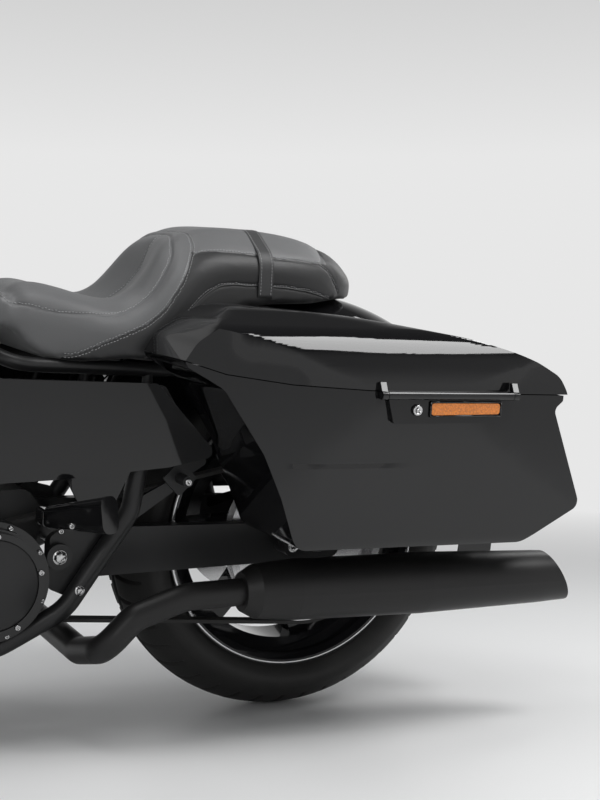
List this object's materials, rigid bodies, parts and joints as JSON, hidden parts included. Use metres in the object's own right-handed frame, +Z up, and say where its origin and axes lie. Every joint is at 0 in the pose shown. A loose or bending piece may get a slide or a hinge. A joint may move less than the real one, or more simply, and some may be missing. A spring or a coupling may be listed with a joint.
{
  "type": "touring cruiser motorcycle",
  "caption": "Touring cruiser motorcycle with an air-cooled vee engine, fork fairing, two-up seat, hard saddlebags with hinged lids and a side stand; parked leaning, wheels and steering turn.",
  "frame": {"origin": "centre of the bounding box, on the floor the machine stands on", "axes": "+X forward, +Y to the rider's left, +Z up; the machine leans 7 degrees to its left on the side stand"},
  "size_m": [2.3938, 0.9984, 1.3053],
  "materials": {
    "alloy": "machined",
    "amber": "amber lens",
    "body_black": "deep gloss black paint",
    "chrome": "polished",
    "cover_black": "gloss black",
    "engine_black": "wrinkle black coat",
    "exhaust_black": "satin black ceramic",
    "frame_black": "satin black powder coat",
    "lamp": "clear lens",
    "leather": "matte black and dark grey",
    "plastic": "black",
    "red": "red lens",
    "rubber": "black",
    "screen": "dark smoked",
    "steel": "plain",
    "tyre": "black",
    "wheel_black": "gloss black with a machined ring"
  },
  "bodies": {
    "chassis": {"air_cleaner": "cover_black", "bag_supports": "frame_black", "cam_cover": "cover_black", "cylinders": "engine_black", "drive_belt": "rubber", "engine_block": "engine_black", "engine_guard": "frame_black", "exhaust_pipes": "exhaust_black", "foot_controls": "frame_black", "footboards": "cover_black", "frame_cradle": "frame_black", "frame_spine": "frame_black", "fuel_tank": "body_black", "hinge_trims": "cover_black", "mufflers": "exhaust_black", "passenger_pegs": "cover_black", "plate_bracket": "plastic", "primary_cover": "cover_black", "rear_axle": "steel", "rear_caliper": "cover_black", "rear_fender": "body_black", "rear_signals": "amber", "reflectors": "amber", "rocker_covers": "cover_black", "saddlebag_left": "body_black", "saddlebag_right": "body_black", "seat": "leather", "seat_strap": "leather", "shocks": "frame_black", "side_covers": "body_black", "swingarm": "frame_black", "tail_lamp": "red", "tank_cap": "chrome"},
    "rear_wheel": {"rear_tyre": "tyre", "rear_rim": "wheel_black", "rear_pulley": "alloy", "rear_disc": "steel"},
    "front_wheel": {"front_tyre": "tyre", "front_rim": "wheel_black", "front_discs": "steel"},
    "steering": {"fork_sliders": "cover_black", "fork_tubes": "steel", "yokes": "cover_black", "handlebar": "cover_black", "grips": "rubber", "controls": "cover_black", "mirrors": "cover_black", "front_axle": "steel", "front_fender": "body_black", "front_calipers": "cover_black", "fairing": "body_black", "fairing_bracket": "frame_black", "headlamp": "lamp", "windscreen": "screen", "gauges": "plastic", "front_signals": "amber"},
    "side_stand": {"side_stand": "frame_black"},
    "lid_left": {"lid_left": "body_black"},
    "lid_right": {"lid_right": "body_black"}
  },
  "joints": [
    {"name": "steering", "type": "hinge", "parent": "chassis", "child": "steering", "pos_m": [0.64517, -0.03422, 0.74558], "axis": [-0.4384, 0.1095, 0.8921], "range_deg": [-30, 30]},
    {"name": "front_wheel_spin", "type": "hinge", "parent": "steering", "child": "front_wheel", "pos_m": [0.87795, -0.08683, 0.31716], "axis": [0, 0.9925, -0.1219], "continuous": true},
    {"name": "rear_wheel_spin", "type": "hinge", "parent": "chassis", "child": "rear_wheel", "pos_m": [-0.74705, -0.08571, 0.3263], "axis": [0, 0.9925, -0.1219], "continuous": true},
    {"name": "stand_fold", "type": "hinge", "parent": "chassis", "child": "side_stand", "pos_m": [0.12295, 0.08118, 0.12647], "axis": [0.0874, 0.6069, 0.7899], "range_deg": [0, 80]},
    {"name": "lid_left_hinge", "type": "hinge", "parent": "chassis", "child": "lid_left", "pos_m": [-0.82205, 0.3912, 0.55892], "axis": [-1, 0, 0], "range_deg": [0, 75]},
    {"name": "lid_right_hinge", "type": "hinge", "parent": "chassis", "child": "lid_right", "pos_m": [-0.82205, -0.49217, 0.66738], "axis": [1, 0, 0], "range_deg": [0, 75]}
  ]
}
